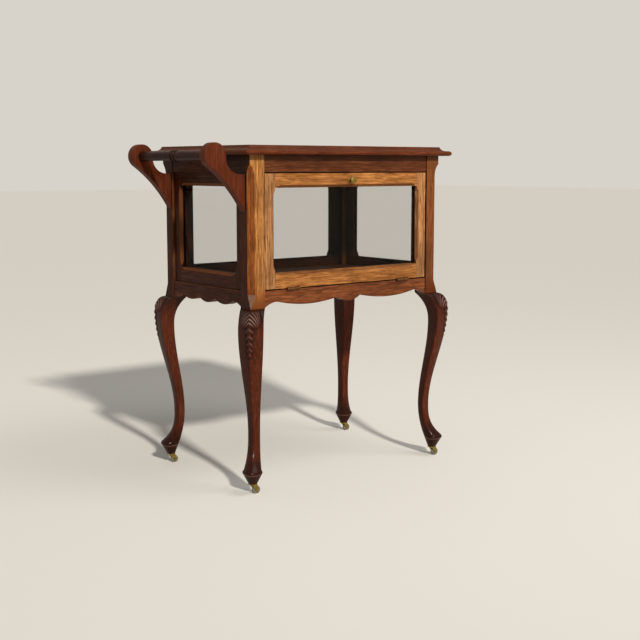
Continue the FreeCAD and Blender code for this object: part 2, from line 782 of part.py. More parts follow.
def make_handle():
    """Two swan-neck brackets on the left posts and the turned bar between their heads."""
    reach = S["head_reach"]
    rise = S["head_rise"]
    head = S["head_radius"]
    shoulder = S["bracket_shoulder"]
    # The hollow of the neck leaves the shoulder level and runs into the round head.
    gap = reach - shoulder
    hollow = (gap * gap + rise * rise - head * head) / ((rise + head) * 2)
    share = head / (head + hollow)
    meet_x = -reach + gap * share
    meet_z = rise + (hollow - rise) * share
    # The long lower sweep leaves the head at a fixed slope.
    leave = math.radians(HEAD_LEAVE_TURN)
    leave_x = -reach + head * math.cos(leave)
    leave_z = rise + head * math.sin(leave)
    top = math.radians(HEAD_TOP_TURN)
    top_x = -reach + head * math.cos(top)
    top_z = rise + head * math.sin(top)
    corners = [
        (0, 0, None),
        (-shoulder, 0, -hollow),
        (meet_x, meet_z, head),
        (top_x, top_z, head),
        (leave_x, leave_z, -S["bracket_sweep_radius"]),
        (0, -S["bracket_seat_height"], None),
    ]
    bracket = sawn("bracket", corners, S["bracket_thickness"])
    spigot = rod(
        S["bar_spigot_radius"], S["bar_spigot_length"],
        -reach, S["bracket_thickness"] - S["bar_spigot_length"], rise,
        FreeCAD.Rotation(UP, FreeCAD.Vector(0, 1, 0)),
    )
    front = carved(bracket, [spigot])
    seat(front, -HALF_LENGTH, S["bracket_inset"] - HALF_DEPTH, HEAD_Z - rise)
    keep(front, "handle_bracket_front")
    rear = doc.addObject("Part::Mirroring", "rear_bracket")
    rear.Source = front
    rear.Normal = (0, 1, 0)
    keep(rear, "handle_bracket_back")

    half = HALF_DEPTH - S["bracket_inset"] - S["bracket_thickness"]
    ring = S["bar_ring_length"]
    crest = S["bar_ring_radius"]
    thick = S["bar_radius"]
    spigot_end = half + S["bar_spigot_length"]
    lower = [
        (0, -spigot_end, None),
        (S["bar_spigot_radius"], -spigot_end, None),
        (S["bar_spigot_radius"], -half, None),
        (thick, -half, None),
        (thick, -ring, None),
        (crest, -ring / 2, None),
    ]
    upper = [(radius, -along, None) for radius, along, bend in reversed(lower)]
    corners = lower + [(thick, 0, None)] + upper
    bar = turned("bar", corners)
    seat(bar, -HALF_LENGTH - reach, 0, HEAD_Z, FreeCAD.Rotation(UP, FreeCAD.Vector(0, 1, 0)))
    keep(bar, "handle_bar")


def make_hinge_leaves(label, shelf, knuckles, bore):
    """Leaves of both hinges, each with its share of the knuckles round the pin."""
    along = FreeCAD.Rotation(UP, FreeCAD.Vector(1, 0, 0))
    pitch = S["hinge_knuckle_length"]
    stand_off = S["hinge_knuckle_radius"] + S["hinge_stand_off"]
    leaves = []
    for place_x in hinge_places():
        start = place_x - hinge_length() / 2
        pieces = [slab((start, start + hinge_length()), (stand_off, stand_off + S["hinge_leaf_depth"]), shelf)]
        for index in knuckles:
            low = start + pitch * index + S["end_play"] / 2
            run = pitch - S["end_play"]
            pieces.append(rod(S["hinge_knuckle_radius"], run, low, 0, 0, along))
            pieces.append(slab((low, low + run), (0, stand_off), shelf))
        eye = rod(bore, hinge_length(), start, 0, 0, along)
        leaves.append(carved(joined(pieces), [eye]))
    keep(seat(group(leaves), 0, PIVOT_Y, PIVOT_Z), label)


def make_hinges():
    """Butt hinges let into the apron's top edge and the door's bottom edge."""
    half_gap = S["door_gap"] / 2
    leaf = S["hinge_leaf_thickness"]
    loose = S["hinge_pin_radius"] + S["running_play"]
    make_hinge_leaves("hinge_frame_leaves", (-half_gap - leaf, -half_gap), (0, 2), S["hinge_pin_radius"])
    make_hinge_leaves("hinge_door_leaves", (half_gap, half_gap + leaf), (1,), loose)
    along = FreeCAD.Rotation(UP, FreeCAD.Vector(1, 0, 0))
    pins = []
    for place_x in hinge_places():
        pins.append(rod(S["hinge_pin_radius"], hinge_length(), place_x - hinge_length() / 2, 0, 0, along))
    keep(seat(group(pins), 0, PIVOT_Y, PIVOT_Z), "hinge_pins")


def make_catch():
    """A turned knob whose spindle passes the rail and carries a tongue that turns up behind the frieze."""
    head = S["knob_radius"]
    out = S["knob_projection"]
    neck = S["knob_neck_radius"]
    collar = S["knob_collar_height"]
    head_low = out - S["knob_head_height"]
    spindle_end = S["rail_thickness"] + S["tongue_play"] + S["tongue_thickness"]
    corners = [
        (0, -spindle_end, None),
        (S["spindle_radius"], -spindle_end, None),
        (S["spindle_radius"], 0, None),
        (S["knob_collar_radius"], 0, None),
        (S["knob_collar_radius"], collar, None),
        (neck, collar, None),
        (neck, head_low, None),
        (head, head_low, None),
        (head, out, None),
        (0, out, None),
    ]
    knob = turned("knob", corners)
    seat(knob, 0, DOOR_FRONT, KNOB_Z, FreeCAD.Rotation(UP, FreeCAD.Vector(0, -1, 0)))
    keep(knob, "door_knob")

    half = S["tongue_width"] / 2
    tip = S["tongue_reach"]
    corners = [
        (-half, -half, None),
        (tip - half, -half, None),
        (tip, -half / 2, None),
        (tip, half / 2, None),
        (tip - half, half, None),
        (-half, half, None),
    ]
    tongue = sawn("tongue", corners, S["tongue_thickness"])
    eye = rod(
        S["spindle_radius"], S["tongue_thickness"], 0, 0, 0,
        FreeCAD.Rotation(UP, FreeCAD.Vector(0, 1, 0)),
    )
    tongue_y = DOOR_FRONT + S["rail_thickness"] + S["tongue_play"]
    keep(seat(carved(tongue, [eye]), 0, tongue_y, KNOB_Z), "latch_tongue")


def make_caster(corner):
    """Square plate under the foot, a forked horn that swivels in it, and a wheel on its axle."""
    x_sign, y_sign = CORNERS[corner]
    inset = S["pad_offset"] / math.sqrt(2) - S["post_size"] / 2
    x = (HALF_LENGTH + inset) * x_sign
    y = (HALF_DEPTH + inset) * y_sign
    plate_low = S["caster_height"] - S["plate_thickness"]
    crown_top = plate_low - S["swivel_play"]
    crown_low = crown_top - S["crown_thickness"]
    trail = S["caster_trail"]
    axle_z = S["wheel_radius"]

    hole = rod(S["pivot_radius"] + S["running_play"], S["plate_thickness"], 0, 0, plate_low)
    edges = (-S["plate_size"] / 2, S["plate_size"] / 2)
    plate = carved(slab(edges, edges, (plate_low, S["caster_height"])), [hole])
    keep(seat(plate, x, y, 0), "caster_plate_" + corner)

    boss = S["axle_boss_radius"]
    gap_half = S["wheel_width"] / 2 + S["wheel_side_play"]
    outer_half = gap_half + S["cheek_thickness"]
    cheek_outline = [
        (-boss, crown_top, None),
        (trail - boss, axle_z, None),
        (trail - boss / 2, axle_z - boss, None),
        (trail + boss / 2, axle_z - boss, None),
        (trail + boss, axle_z, None),
        (trail, crown_top, None),
    ]
    level = FreeCAD.Rotation(UP, FreeCAD.Vector(0, 1, 0))
    cheeks = []
    for side in (-outer_half, gap_half):
        cheek = sawn("cheek", cheek_outline, S["cheek_thickness"])
        cheeks.append(place(cheek, 0, side, 0))
    horn = joined(cheeks + [
        slab((-boss, trail), (-outer_half, outer_half), (crown_low, crown_top)),
        rod(S["pivot_radius"], S["caster_height"] + S["pivot_rise"] - crown_low, 0, 0, crown_low),
        rod(S["axle_radius"], gap_half * 2, trail, -gap_half, axle_z, level),
    ])
    keep(seat(horn, x, y, 0), "caster_horn_" + corner)

    half = S["wheel_width"] / 2
    eye = rod(S["axle_radius"] + S["running_play"], S["wheel_width"], 0, 0, -half)
    wheel = carved(rod(S["wheel_radius"], S["wheel_width"], 0, 0, -half), [eye])
    keep(seat(wheel, x + trail, y, axle_z, level), "caster_wheel_" + corner)


def build():
    make_top_board()
    for corner in CORNERS:
        make_leg(corner)
    for side in SIDES:
        make_frieze(side)
        make_apron(side)
    for side in ("left", "right", "back"):
        make_fixed_frame(side)
    make_floor()
    make_handle()
    make_door()
    make_hinges()
    make_catch()
    for corner in CORNERS:
        make_caster(corner)
    doc.recompute()


def write_parts():
    """Check every object and write each sub-part to its own file."""
    for item in doc.Objects:
        if "Invalid" in item.State or "Error" in item.State:
            raise RuntimeError("%s failed: %s" % (item.Label, item.State))
    for node in nodes:
        if node.Shape.isNull() or not node.Shape.isValid() or node.Shape.Volume <= 0:
            raise RuntimeError("%s has no sound solid" % node.Label)
    os.makedirs("parts", exist_ok=True)
    for node in nodes:
        node.Shape.exportStep("parts/%s.step" % node.Label)
    print("%d sub-parts written" % len(nodes))


build()
write_parts()
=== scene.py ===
import math

import bmesh
import bpy
from bpy.props import FloatProperty, FloatVectorProperty, IntProperty, PointerProperty
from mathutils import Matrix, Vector


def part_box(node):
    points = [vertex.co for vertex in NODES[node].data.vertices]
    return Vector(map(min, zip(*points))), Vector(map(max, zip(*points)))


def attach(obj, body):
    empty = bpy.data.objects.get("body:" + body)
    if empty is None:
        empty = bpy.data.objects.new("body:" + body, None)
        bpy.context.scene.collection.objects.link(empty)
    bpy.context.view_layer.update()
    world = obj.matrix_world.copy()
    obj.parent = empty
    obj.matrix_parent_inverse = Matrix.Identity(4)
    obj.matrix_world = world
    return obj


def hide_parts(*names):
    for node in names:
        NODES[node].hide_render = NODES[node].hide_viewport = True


bl_info = {
    "name": "Glazed serving case",
    "version": (1, 0, 0),
    "blender": (4, 5, 0),
    "location": "3D View > Sidebar > Serving case",
    "description": "Dresses an oak serving case: carved cabriole legs, turned bar, brass and glass",
    "category": "Add Mesh",
}

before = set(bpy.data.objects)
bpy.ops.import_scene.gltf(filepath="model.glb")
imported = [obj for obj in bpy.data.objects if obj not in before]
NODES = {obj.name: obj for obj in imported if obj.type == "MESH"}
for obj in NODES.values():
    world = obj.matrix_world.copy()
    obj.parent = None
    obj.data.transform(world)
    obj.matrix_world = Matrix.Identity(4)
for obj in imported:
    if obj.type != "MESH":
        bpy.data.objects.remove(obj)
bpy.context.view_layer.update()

MM = 0.001
UP = Vector((0, 0, 1))
CORNERS = {
    "front_left": (-1, -1),
    "front_right": (1, -1),
    "back_left": (-1, 1),
    "back_right": (1, 1),
}

# Heights and faces that the dressing shares with the solids.
FOOT_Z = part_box("leg_front_left")[0].z
KNEE_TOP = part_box("apron_front")[0].z
DOOR_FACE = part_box("door_top_rail")[0].y
POST_SIZE = 40 * MM
POST_START = KNEE_TOP + 0.1 * MM

# Points closer than these are one point, and faces that turn less than the angle are one face.
SOLID_WELD = 0.01 * MM
PIECE_WELD = 0.005 * MM
CUT_WELD = 0.001 * MM
FLAT_ANGLE = math.radians(0.5)

# Edges sharper than this are worn.
WORN_ANGLE = math.radians(32)

# Places of a post's finishes in its list of materials; its sides have the first, a darker oak that is
# painted shade.
POST_FRONT = 1
POST_CHAMFER = 2
POST_STOP = 3

# Parts of a face's normal: a front has this much to the front, a chamfer to both sides, a stop upwards.
FRONT_PART = 0.9
CHAMFER_PART = 0.3
STOP_PART = 0.1

# Steps over the rounded parts of the knob's profile.
COLLAR_STEPS = 4
RIM_STEPS = 8
DOME_STEPS = 5

# Exponents of a leg's section: 1 is a square that stands on its corner, 2 is an ellipse.
POST_ROUNDNESS = 1.0
KNEE_ROUNDNESS = 1.08
ANKLE_ROUNDNESS = 1.2
FOOT_ROUNDNESS = 1.5

# Angle through which the toe's rounded edge rolls over.
TOE_ROLL = 0.8 * math.pi

# Where a leg's side has turned from the front, which is -1, so far that it is darkened as painted shade.
FRONT_EDGE = -0.85
FRONT_FADE = 0.3

# Half of the height of the line that is rubbed pale at the toe's lower edge.
RUBBED_LINE = 0.3 * MM

# Rings along a leg, from the floor up: the foot, the toe's edge, the instep, the shin and the carved knee.
RING_STEPS = (6, 12, 26, 34, 84)

# Proportions of the carving: drops are shares of its length, and widths of its half-width.
TOP_FADE = 0.05
SHELL_TOP_WIDTH = 0.75
SHELL_SPREAD = 0.26
HEM_FADE = 0.07
EDGE_FADE = 0.3
LOBE_CROWDING = 1.25
LOBE_TAPER = 0.35
LOBE_WIDTH = 0.84
LOBE_WAVE = 0.16
LOBE_VEINS = 7
LOBE_VEIN_SLANT = 9
VEIN_SPREAD = 0.6
VEIN_CURL = 0.7
VEIN_SLANT = 0.75
# Where the shell's crests are painted pale: rubbed wear and a painted highlight.
RUB_SHEEN_MARGIN = 0.03
RUB_SHEEN_SPAN = 0.42

# Layers of the grain: width and length of a mark in millimetres, the noise that draws it, and the span of
# that noise over which a mark comes up to its full strength.
GRAIN = {
    "figure": dict(width=6, length=150, detail=4, rough=0.6, wander=0.6, low=0.42, high=0.6, full=0.65),
    "pores": dict(width=2, length=40, detail=3, rough=0.7, wander=0.0, low=0.5, high=0.6, full=0.9),
    "flecks": dict(width=3, length=55, detail=2, rough=0.5, wander=0.0, low=0.52, high=0.64, full=0.6),
    "handling": dict(width=70, length=90, detail=3, rough=0.6, wander=0.0, low=0.42, high=0.72, full=0.5),
}

# Sockets of a Mix node that mixes colours.
MIX_SHARE = 0
MIX_BELOW = 6
MIX_ABOVE = 7
MIX_RESULT = 2

# The stage, in metres, degrees and Blender's own units of light.
FLOOR_HALF = 30
SKY_STRENGTH = 0.3
WALL_STRENGTH = 1.0
SUN_STRENGTH = 2.9
SUN_COLOUR = (1.0, 0.96, 0.9)
SUN_WIDTH = 4
SUN_TILT = 59
SUN_TURN = -14
OVERHEAD_POWER = 18
OVERHEAD_SIZE = 1.2
OVERHEAD_PLACE = Vector((0.8, -1.3, 2.6))
OVERHEAD_AIM = Vector((0, 0, 0.6))
SENSOR_WIDTH = 36
FOCAL_LENGTH = 64.16
CAMERA_PLACE = (-1.72505, -2.2849, 0.7533)
CAMERA_DIP = 7.697
CAMERA_TURN = -38.585


def linear(code):
    """An sRGB hex colour as linear red, green and blue."""
    channels = [int(code[start:start + 2], 16) / 255 for start in (0, 2, 4)]
    return tuple(c / 12.92 if c <= 0.04045 else ((c + 0.055) / 1.055) ** 2.4 for c in channels)


def shade(code, name, description):
    """A colour that a user can change, given as sRGB hex."""
    return FloatVectorProperty(
        name=name, description=description, subtype="COLOR", size=3, min=0, max=1, default=linear(code)
    )


def size(millimetres, name, description):
    """A length that a user can change, given in millimetres."""
    return FloatProperty(
        name=name, description=description, unit="LENGTH", subtype="DISTANCE", default=millimetres * MM
    )


def portion(part, name, description):
    """A part of one that a user can change."""
    return FloatProperty(name=name, description=description, subtype="FACTOR", min=0, max=1, default=part)


class CaseColours(bpy.types.PropertyGroup):
    """Colours of the finishes, each as it looks in plain light; a few darker and paler ones are painted
    shade and painted highlight.
    """

    door_oak: shade("ae723b", "Door oak", "Worn golden oak of the door")
    stile_oak: shade("b38052", "Stile oak", "Worn oak of the door's stiles, a little greyer than its rails")
    door_pore: shade("6b3c16", "Door pores", "Stained pores and late wood of the golden oak")
    worn_oak: shade("ba7f44", "Worn post oak", "Rubbed oak of the post beside the handle")
    post_oak: shade("784521", "Post oak", "Brown oak of the other posts")
    stained_oak: shade("733815", "Stained oak", "Red-brown finish of the knee where it fades up the post")
    post_pore: shade("552b10", "Post pores", "Stained pores and late wood of the posts")
    case_oak: shade("7c4422", "Case oak", "Brown oak of the front apron")
    # Painted shade: the frieze is darker for the shadow that the top's overhang casts on it.
    frieze_shade_oak: shade("633519", "Frieze oak", "Brown oak of the front frieze, less faded below the top")
    case_pore: shade("45200d", "Case pores", "Stained pores and late wood of the brown oak")
    top_oak: shade("703615", "Top oak", "Red-brown oak of the top board")
    top_pore: shade("471a0a", "Top pores", "Stained pores and late wood of the red-brown oak")
    neck_oak: shade("55240e", "Neck oak", "Red-brown oak of the swan necks")
    # Painted shade: this darker oak stands for the shade on the ends, the back and the posts' sides.
    side_shade_oak: shade("42200c", "Side oak", "Dark oak of the ends and back, less rubbed than the front")
    chamfer_oak: shade("91501f", "Chamfer oak", "Red-brown oak of the posts' chamfers")
    # Partly painted light: on the carving's crests and the chamfer stops this pale tone is a painted
    # highlight as well as rubbed wood.
    bare_and_sheen_oak: shade("766a62", "Bare oak", "Pale wood where chamfer stops, carving and toes are rubbed bare")
    leg_oak: shade("542006", "Leg oak", "Dark polished oak of the cabriole legs")
    leg_pore: shade("2b0e06", "Leg pores", "Stained pores and late wood of the dark oak")
    bar_oak: shade("2a130a", "Bar oak", "Nearly black oak of the push bar")
    inner_oak: shade("402310", "Inner oak", "Plain oak inside the case")
    brass: shade("9b853f", "Brass", "Aged brass of catch and casters")
    dull_brass: shade("7d5533", "Dull brass", "Brown unpolished brass of the hinges")
    dusty_brass: shade("9c978a", "Dusty brass", "Brass of the wheels, grey with wear and dust")
    glass: shade("20261f", "Glass", "Faint body colour of the panes")
    floor: shade("efebe3", "Floor", "Pale studio floor")
    backdrop: shade("d8d3ca", "Backdrop", "Pale wall behind the case")
    sky: shade("f1efec", "Sky", "Soft light from all round")


class CaseSizes(bpy.types.PropertyGroup):
    """Sizes of the dressing that the solids leave plain."""

    arris: size(0.9, "Softened arris", "Width of the worn edge on sawn and planed pieces")
    cast_edge: size(0.3, "Cast edge", "Width of the worn edge on cast brass")
    rolled_edge: size(0.4, "Rolled edge", "Width of the worn edge on hinges and wheels")
    knee_drop: size(42, "Knee drop", "From the knee's top down to its crest")
    knee_reach: size(57, "Knee reach", "Front of the knee along the diagonal, from the post's middle")
    knee_width: size(59, "Knee width", "Width of the knee across the diagonal")
    knee_back_drop: size(75, "Knee hollow drop", "From the knee's top down to the hollow behind it")
    knee_back: size(7, "Knee hollow", "Back of the knee along the diagonal")
    ankle_height: size(140, "Ankle height", "Height of the thinnest place of the leg")
    ankle_reach: size(10.6, "Ankle reach", "Front of the ankle along the diagonal")
    ankle_back: size(16.5, "Ankle back", "Back of the ankle, measured inwards")
    ankle_width: size(28.4, "Ankle width", "Width of the ankle across the diagonal")
    toe_height: size(57, "Toe height", "Where the instep ends and the toe's rounded edge begins")
    toe_rim: size(9, "Toe rim", "Height of the rounded edge of the toe")
    toe_swell: size(3, "Toe swell", "How far the rounded edge of the toe stands out")
    toe_reach: size(47, "Toe reach", "Front of the toe along the diagonal")
    toe_back: size(1.5, "Heel", "Back of the foot, measured inwards")
    toe_width: size(47.5, "Toe width", "Width of the foot across the diagonal")
    pad_offset: size(21, "Pad offset", "Middle of the caster's seat along the diagonal")
    pad_width: size(20, "Pad width", "Width of the caster's seat")
    spigot: size(7, "Bar spigot", "Radius of the push bar's ends in the swan necks")
    socket: size(12, "Bar socket", "Length of the push bar's ends in the swan necks")
    bead_height: size(2.4, "Bead height", "How far the push bar's beads stand out")
    bead_half: size(3.2, "Bead half-length", "Half of a bead's length along the push bar")
    bead_spread: size(6.3, "Bead spread", "From the bar's middle to the middle of a bead")
    spindle: size(2.5, "Knob spindle", "Radius of the knob's spindle through the door")
    neck: size(3.4, "Knob neck", "Radius of the knob behind its head")
    collar: size(5, "Knob collar", "Radius of the knob against the door")
    collar_edge: size(0.6, "Collar edge", "Height of the collar's own edge")
    collar_rise: size(1.6, "Collar rise", "Height over which the collar turns into the neck")
    knob_rim: size(1.8, "Knob rim", "Radius of the rounded rim of the knob's head")
    knob_dome: size(1.2, "Knob dome", "How far the face of the knob's head is domed")


class CaseCarving(bpy.types.PropertyGroup):
    """The carving of the knees: a veined shell with a drop of paired lobes below it."""

    length: size(112, "Carving length", "From the knee's top to the tip of the lowest lobe")
    half_width: size(36, "Carving half-width", "Half of the shell's width, measured round the knee")
    depth: size(2.6, "Carving depth", "Height of the carving above the leg")
    lobes: IntProperty(name="Lobes", description="Pairs of lobes along the whole length", default=7, min=1)
    stem: portion(0.38, "Lobe width", "Width of the lobes as a part of the shell's")
    hem: portion(0.24, "Hem", "Where the shell ends at the arris, as a part of the length")
    hem_dip: portion(0.08, "Hem dip", "How much lower the shell ends in the middle of each half")
    vein_spacing: size(6.5, "Vein spacing", "From one vein of the shell to the next")
    rib: size(2.6, "Rib", "Half-width of the rib along the arris")
    ground: size(5, "Ground", "Width of the sunk ground round the carving")


class CaseWear(bpy.types.PropertyGroup):
    """How dark the old polish of legs and posts is, how far it reaches, and how strong the painted shade on
    the legs' sides is.
    """

    post_dark: portion(0.95, "Post stain", "Strength of the knee's finish at the foot of the post")
    post_fade: size(75, "Post fade", "How far the finish of the knee fades up the post")
    knee_dark: portion(0.6, "Knee polish", "Strength of the dark polish at the top of the knee")
    knee_fade: size(70, "Knee fade", "How far that polish fades down the leg")
    foot_dark: portion(0.75, "Foot polish", "Strength of the dark polish on the foot")
    foot_top: size(110, "Foot polish top", "Height at which the foot's polish begins")
    foot_fade: size(50, "Foot fade", "Height over which the foot's polish deepens")
    # Painted shade: the legs' sides away from the front are darkened.
    side_shade: portion(0.45, "Side polish", "Strength of the dark polish on sides away from the front")
    rim_rubbed: portion(0.6, "Rubbed toe", "How far the lower edge of the toe is rubbed pale")


def colours():
    """Colours set in the scene."""
    return bpy.context.scene.case_colours


def sizes():
    """Sizes set in the scene."""
    return bpy.context.scene.case_sizes


def wear():
    """Wear set in the scene."""
    return bpy.context.scene.case_wear


def add_node(tree, kind, links=None, **settings):
    """Add a shader node, set its properties or inputs, and link inputs from the sockets given."""
    node = tree.nodes.new(kind)
    for name, value in settings.items():
        if hasattr(node, name):
            setattr(node, name, value)
        else:
            node.inputs[name.replace("_", " ")].default_value = value
    for name, socket in (links or {}).items():
        tree.links.new(socket, node.inputs[name])
    return node


def new_material(name):
    """An empty material and its node tree."""
    material = bpy.data.materials.new(name)
    material.use_nodes = True
    material.node_tree.nodes.clear()
    return material, material.node_tree


def grain_layers(tree, place, along, strength):
    """The noise of each layer of the grain, stretched along one axis, and a mask of its marks."""
    noises = {}
    masks = {}
    for name, layer in GRAIN.items():
        scale = [1 / (layer["width"] * MM)] * 3
        scale["XYZ".index(along)] = 1 / (layer["length"] * MM)
        stretched = add_node(tree, "ShaderNodeMapping", {"Vector": place.outputs["Object"]}, Scale=scale)
        noise = add_node(
            tree, "ShaderNodeTexNoise", {"Vector": stretched.outputs[0]}, Scale=1.0,
            Detail=layer["detail"], Roughness=layer["rough"], Distortion=layer["wander"],
        )
        full = layer["full"] * strength if name in ("figure", "pores") else layer["full"]
        mask = add_node(
            tree, "ShaderNodeMapRange", {"Value": noise.outputs["Fac"]},
            From_Min=layer["low"], From_Max=layer["high"], To_Max=full,
        )
        noises[name] = noise.outputs["Fac"]
        masks[name] = mask.outputs[0]
    return noises, masks


def stain_mask(tree, place):
    """Where the dark finish of the knee fades up a post."""
    height = add_node(tree, "ShaderNodeSeparateXYZ", {"Vector": place.outputs["Object"]})
    fade = add_node(
        tree, "ShaderNodeMapRange", {"Value": height.outputs["Z"]}, interpolation_type="SMOOTHSTEP",
        From_Min=KNEE_TOP, From_Max=KNEE_TOP + wear().post_fade, To_Min=wear().post_dark, To_Max=0.0,
    )
    return fade.outputs[0]


def slope_light_and_shade_mask(tree, place):
    """Where a face slopes between two axes, as a chamfer does: the mask of a tone painted there, painted
    shade on golden and red oak and painted light on dark oak.
    """
    normal = place.outputs["Normal"]
    squares = add_node(tree, "ShaderNodeVectorMath", {0: normal, 1: normal}, operation="MULTIPLY")
    squareness = add_node(
        tree, "ShaderNodeVectorMath", {0: squares.outputs[0], 1: squares.outputs[0]},
        operation="DOT_PRODUCT",
    )
    slope_light_and_shade = add_node(
        tree, "ShaderNodeMapRange", {"Value": squareness.outputs["Value"]},
        From_Min=0.6, From_Max=0.9, To_Min=0.5, To_Max=0.0,
    )
    return slope_light_and_shade.outputs[0]


def rub_sheen_polish_and_shade_masks(tree):
    """Where a crest is painted pale, as rubbed wear and painted highlight, and where old polish and painted
    shade darken the wood.
    """
    hollow = add_node(tree, "ShaderNodeAttribute", attribute_name="hollow")
    crest = add_node(
        tree, "ShaderNodeMapRange", {"Value": hollow.outputs["Fac"]},
        From_Min=0.0, From_Max=-1.0, To_Max=0.85,
    )
    # Painted shade: ambient occlusion darkens recesses and the places where parts meet.
    corners = add_node(tree, "ShaderNodeAmbientOcclusion", samples=8, Distance=24 * MM)
    corner = add_node(
        tree, "ShaderNodeMapRange", {"Value": corners.outputs["AO"]},
        From_Min=0.25, From_Max=0.85, To_Min=0.85, To_Max=0.0,
    )
    polish_and_shade = add_node(
        tree, "ShaderNodeMath", {0: hollow.outputs["Fac"], 1: corner.outputs[0]}, operation="MAXIMUM"
    )
    return crest.outputs[0], polish_and_shade.outputs[0]


def oak(name, body, pore, along, roughness=0.45, coat=0.12, slope_light_and_shade=None, strength=1.0, stain=None):
    """Stained and polished oak: long open pores, soft figure and pale streaks along one axis.

    Old polish lies dark in the carving, and painted shade darkens recesses, the places where parts meet and
    the legs' sides away from the front; the carving's crests are painted pale, as rubbed wear and painted
    highlight. A tone given for sloping faces paints the chamfers: painted shade on golden and red oak,
    painted light on dark oak. Strength is that of the grain, and stain is a finish that fades up from the
    knee. The pores of oak are about 0.3 mm wide; they are drawn near 2 mm, as coarse as they need to show.
    """
    material, tree = new_material(name)
    place = add_node(tree, "ShaderNodeTexCoord")
    noises, masks = grain_layers(tree, place, along, strength)
    # The crest mask is rubbed wear and a painted highlight; the other mask holds old polish and painted
    # shade.
    crest, polish_and_shade = rub_sheen_polish_and_shade_masks(tree)
    pale = [min(1.0, channel * 1.45 + 0.015) for channel in body]
    grimy = [channel * 0.55 for channel in pore]
    polish_and_shade_tone = [channel * 0.25 for channel in pore]
    paints = [(masks["figure"], pore), (masks["flecks"], pale)]
    if stain:
        paints.append((stain_mask(tree, place), stain))
    paints += [(masks["pores"], pore), (masks["handling"], grimy), (crest, colours().bare_and_sheen_oak)]
    # The tone on sloping faces is painted light on dark oak and painted shade on the others.
    if slope_light_and_shade:
        paints.append((slope_light_and_shade_mask(tree, place), slope_light_and_shade))
    paints.append((polish_and_shade, polish_and_shade_tone))
    below = None
    for mask, paint in paints:
        layer = add_node(tree, "ShaderNodeMix", {MIX_SHARE: mask}, data_type="RGBA")
        layer.inputs[MIX_ABOVE].default_value = (*paint, 1)
        if below is None:
            layer.inputs[MIX_BELOW].default_value = (*body, 1)
        else:
            tree.links.new(below, layer.inputs[MIX_BELOW])
        below = layer.outputs[MIX_RESULT]
    gloss = add_node(
        tree, "ShaderNodeMapRange", {"Value": noises["pores"]},
        From_Min=0.3, From_Max=0.7, To_Min=roughness - 0.08, To_Max=roughness + 0.16,
    )
    relief = add_node(
        tree, "ShaderNodeBump", {"Height": noises["pores"]}, invert=True, Strength=0.25, Distance=0.25 * MM
    )
    shader = add_node(
        tree, "ShaderNodeBsdfPrincipled",
        {"Base Color": below, "Roughness": gloss.outputs[0], "Normal": relief.outputs[0]},
        IOR=1.5, Specular_IOR_Level=0.06, Coat_Weight=coat, Coat_Roughness=roughness - 0.15,
    )
    add_node(tree, "ShaderNodeOutputMaterial", {"Surface": shader.outputs[0]})
    return material


def aged_brass(name, body):
    """Brass, once polished and now dulled: brown in the hollows of a mottle about 4 mm wide."""
    material, tree = new_material(name)
    place = add_node(tree, "ShaderNodeTexCoord")
    mottle = add_node(
        tree, "ShaderNodeTexNoise", {"Vector": place.outputs["Object"]},
        Scale=1 / (4 * MM), Detail=4.0, Roughness=0.6,
    )
    tarnish = add_node(
        tree, "ShaderNodeMapRange", {"Value": mottle.outputs["Fac"]}, From_Min=0.4, From_Max=0.75
    )
    tone = add_node(tree, "ShaderNodeMix", {MIX_SHARE: tarnish.outputs[0]}, data_type="RGBA")
    tone.inputs[MIX_BELOW].default_value = (*body, 1)
    tone.inputs[MIX_ABOVE].default_value = (*[channel * 0.3 for channel in body], 1)
    gloss = add_node(
        tree, "ShaderNodeMapRange", {"Value": mottle.outputs["Fac"]}, To_Min=0.36, To_Max=0.6
    )
    shader = add_node(
        tree, "ShaderNodeBsdfPrincipled",
        {"Base Color": tone.outputs[MIX_RESULT], "Roughness": gloss.outputs[0]}, Metallic=1.0,
    )
    add_node(tree, "ShaderNodeOutputMaterial", {"Surface": shader.outputs[0]})
    return material


def plate_glass(name, body):
    """Clear polished plate glass, so thin that it only adds a faint tint and a clean reflection."""
    material, tree = new_material(name)
    shader = add_node(
        tree, "ShaderNodeBsdfPrincipled", Base_Color=(*body, 1), Roughness=0.03, IOR=1.5, Alpha=0.07
    )
    add_node(tree, "ShaderNodeOutputMaterial", {"Surface": shader.outputs[0]})
    return material


def matt_floor(name, body):
    """Matt paper or paint under the case: no gloss, so that only the shadow shows on it."""
    material, tree = new_material(name)
    shader = add_node(tree, "ShaderNodeBsdfPrincipled", Base_Color=(*body, 1), Roughness=0.9)
    add_node(tree, "ShaderNodeOutputMaterial", {"Surface": shader.outputs[0]})
    return material


def wear_edges(node, width):
    """Ease sharp edges, so that they catch the light as worn edges do."""
    edge = node.modifiers.new("Worn edge", "BEVEL")
    edge.width = width
    edge.segments = 2
    edge.limit_method = "ANGLE"
    edge.angle_limit = WORN_ANGLE
    edge.harden_normals = False
    normals = node.modifiers.new("Flat faces", "WEIGHTED_NORMAL")
    normals.weight = 50


def soften(node, width):
    """Join a solid's facets into whole faces and wear its edges."""
    weld = node.modifiers.new("Weld", "WELD")
    weld.merge_threshold = SOLID_WELD
    planes = node.modifiers.new("Planes", "DECIMATE")
    planes.decimate_type = "DISSOLVE"
    planes.angle_limit = FLAT_ANGLE
    wear_edges(node, width)


def dress(names, material, width=None):
    """Give solids a finish and, where a width is given, worn edges."""
    for name in names:
        node = NODES[name]
        node.data.materials.clear()
        node.data.materials.append(material)
        if width:
            soften(node, width)


